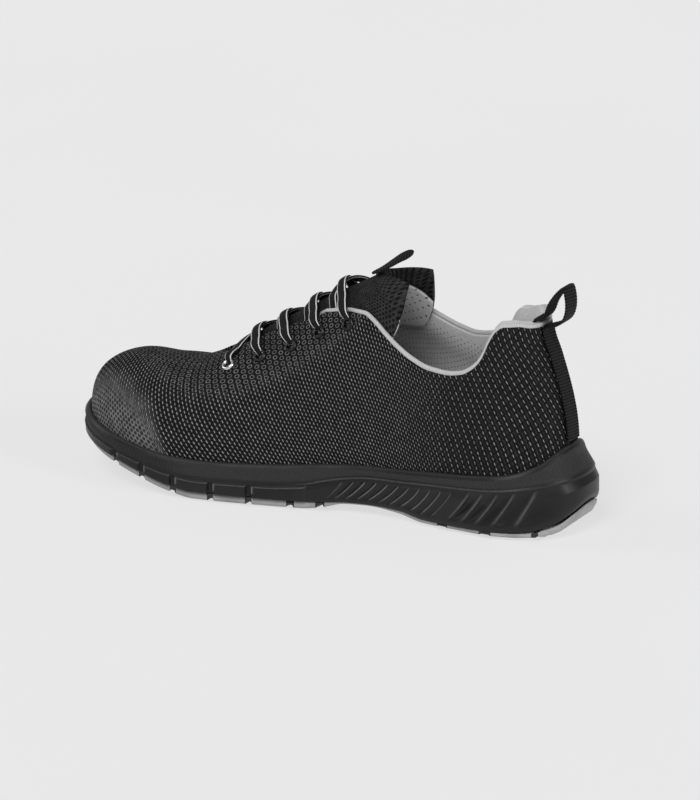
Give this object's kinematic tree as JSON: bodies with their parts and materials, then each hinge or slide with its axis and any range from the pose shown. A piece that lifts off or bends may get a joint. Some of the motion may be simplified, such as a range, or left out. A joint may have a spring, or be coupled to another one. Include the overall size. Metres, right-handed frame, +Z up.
{
  "type": "safety sneaker",
  "caption": "Low lace-up safety sneaker, right shoe: hollow knit upper, cupped foam midsole, treaded rubber outsole, padded tongue, laces and a heel pull loop.",
  "frame": {"origin": "on the floor under the middle of the heel's flat tread", "axes": "+X to the toe, +Y to the wearer's left (the medial side), +Z up"},
  "size_m": [0.2903, 0.1106, 0.1368],
  "materials": {
    "black_knit": "black knit with raised grey-white flecks",
    "pale_lining": "light grey perforated lining and binding",
    "black_foam": "satin black moulded foam",
    "grey_rubber": "matt light grey rubber",
    "tongue_mesh": "black open mesh",
    "webbing": "black woven webbing",
    "bright_eyelet": "bright rolled eyelet",
    "dark_eyelet": "gunmetal rolled eyelet",
    "lace": "flat black lace with two thin white lines"
  },
  "bodies": {
    "root": {"outsole": "grey_rubber", "midsole": "black_foam", "insole": "pale_lining", "upper": "black_knit", "collar_binding": "pale_lining", "tongue": "tongue_mesh", "tongue_pull_tab": "webbing", "heel_webbing": "webbing", "eyelet_medial_1": "bright_eyelet", "eyelet_lateral_1": "bright_eyelet", "eyelet_medial_2": "dark_eyelet", "eyelet_lateral_2": "dark_eyelet", "eyelet_medial_3": "dark_eyelet", "eyelet_lateral_3": "dark_eyelet", "eyelet_medial_4": "dark_eyelet", "eyelet_lateral_4": "dark_eyelet", "eyelet_medial_5": "dark_eyelet", "eyelet_lateral_5": "dark_eyelet", "lace_bar": "lace", "lace_cross_1": "lace", "lace_cross_2": "lace", "lace_cross_3": "lace", "lace_cross_4": "lace"}
  },
  "joints": []
}
